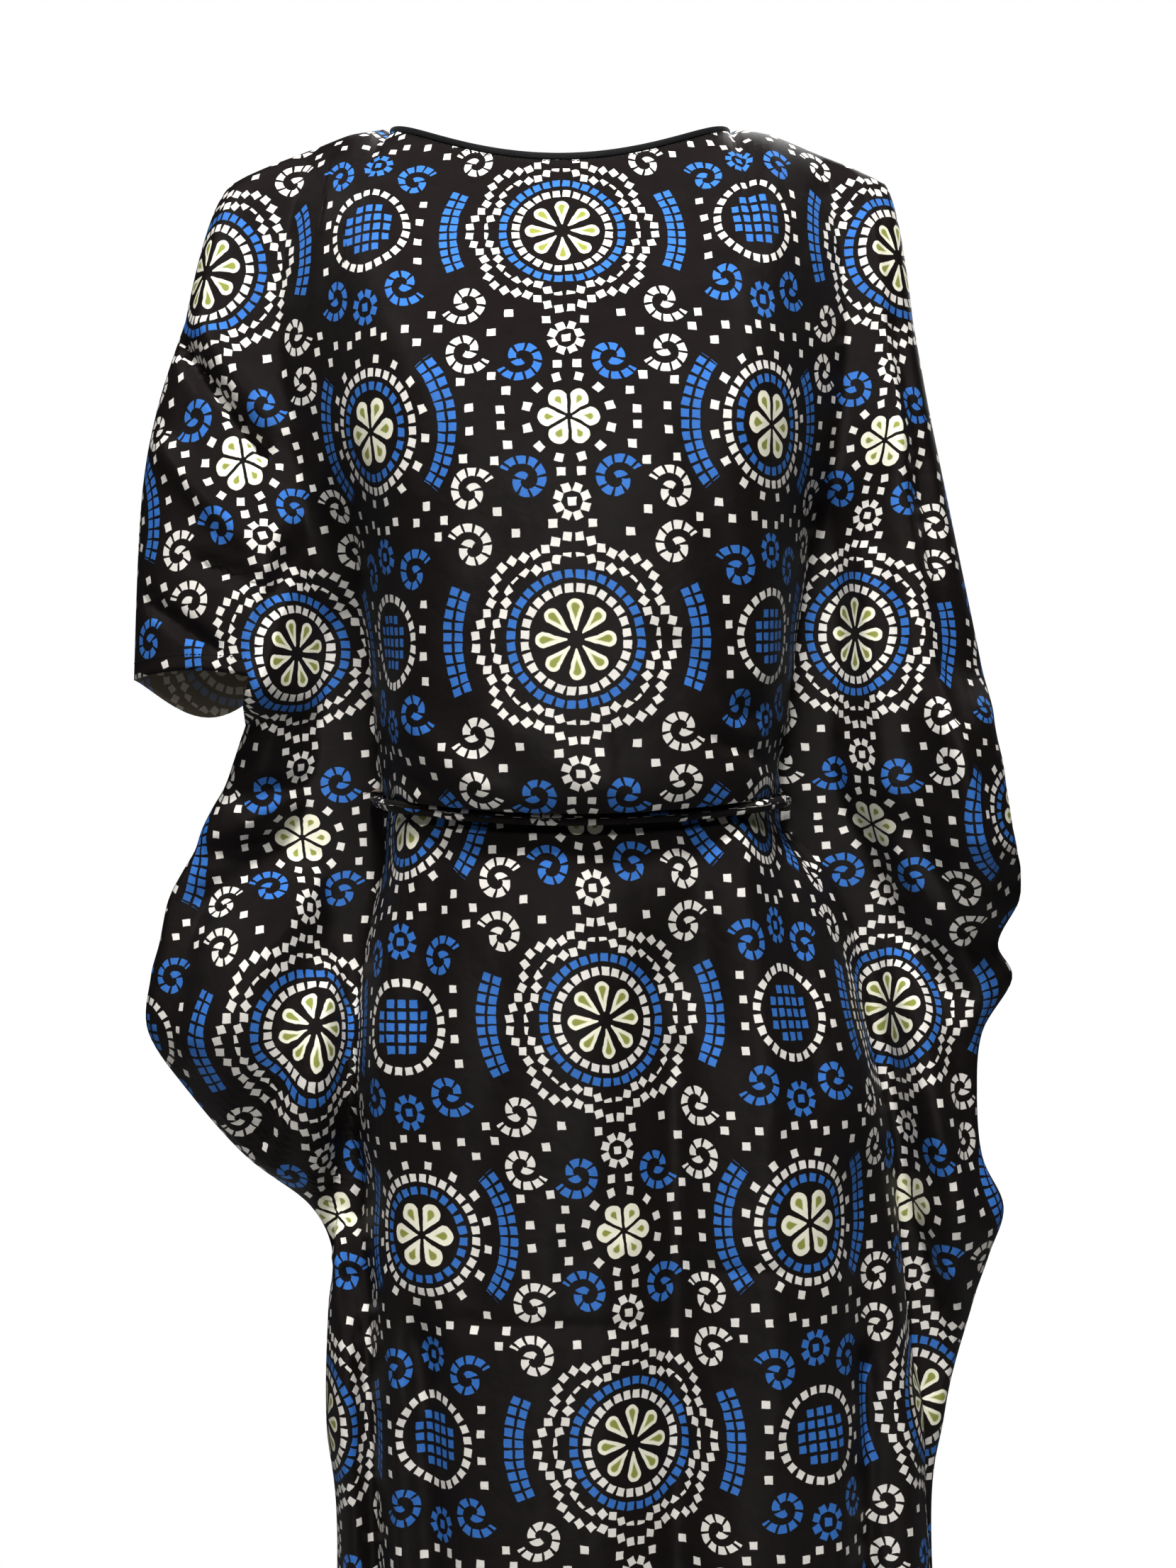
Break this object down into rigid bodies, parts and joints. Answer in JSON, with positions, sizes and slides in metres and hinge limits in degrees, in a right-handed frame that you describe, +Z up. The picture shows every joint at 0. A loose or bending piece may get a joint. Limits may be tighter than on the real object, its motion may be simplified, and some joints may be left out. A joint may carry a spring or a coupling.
{
  "type": "baati dress",
  "caption": "Loose kaftan-cut baati dress in dark printed cloth, worn shape: boat neck, batwing sleeves falling in wings, drawn in by a narrow waist tie, long folded skirt.",
  "frame": {"origin": "on the shoulder line, midway between the two ends of the neck opening, where a wearer's shoulders hold the dress up", "axes": "+Z up, the front faces -Y, +X to the wearer's left"},
  "size_m": [0.499, 0.261, 1.3789],
  "materials": {
    "printed_cloth": "thin dark cotton or viscose with a small blue and white print and a slight sheen",
    "black_binding": "matt black bias strip"
  },
  "bodies": {
    "root": {"front_panel": "printed_cloth", "back_panel": "printed_cloth", "neck_binding": "black_binding", "waist_tie_front": "printed_cloth", "waist_tie_back": "printed_cloth"}
  },
  "joints": []
}
